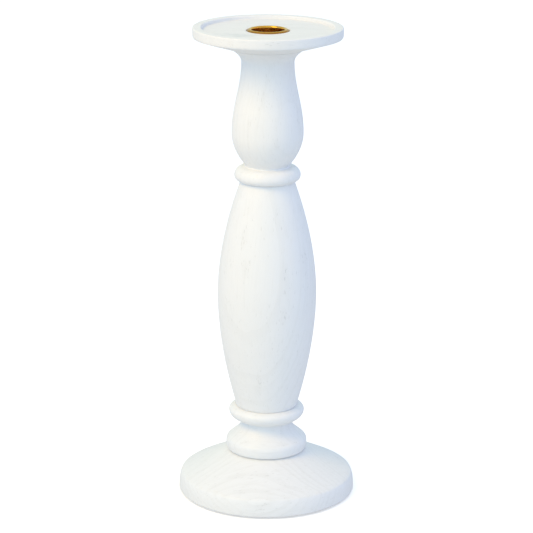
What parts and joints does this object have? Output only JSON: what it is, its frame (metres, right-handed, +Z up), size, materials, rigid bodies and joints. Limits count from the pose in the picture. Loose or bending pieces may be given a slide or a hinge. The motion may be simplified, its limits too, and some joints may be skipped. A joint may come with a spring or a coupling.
{
  "type": "candlestick",
  "caption": "Tall turned wooden candlestick: domed round foot, bulb and bead, long baluster, vase, and a flat drip dish with a brass candle cup.",
  "frame": {"origin": "centre of the felt's lower face, on the axis of turning, where the candlestick stands on the table", "axes": "+Z up the axis of turning, from foot to dish; the outside is round, so X and Y are free"},
  "size_m": [0.121, 0.121, 0.3239],
  "materials": {
    "white_wood": "satin white stain, with the grain just showing",
    "bare_wood": "bare beech",
    "brass": "bright drawn brass",
    "zinc_steel": "zinc plated",
    "felt": "pale grey felt"
  },
  "bodies": {
    "root": {"base_felt": "felt", "base_disc": "white_wood", "foot_collar": "white_wood", "main_baluster": "white_wood", "upper_vase": "white_wood", "drip_dish": "white_wood", "candle_cup": "brass", "cup_screw": "brass", "stem_dowel": "bare_wood", "base_screw": "zinc_steel", "base_washer": "zinc_steel"}
  },
  "joints": []
}
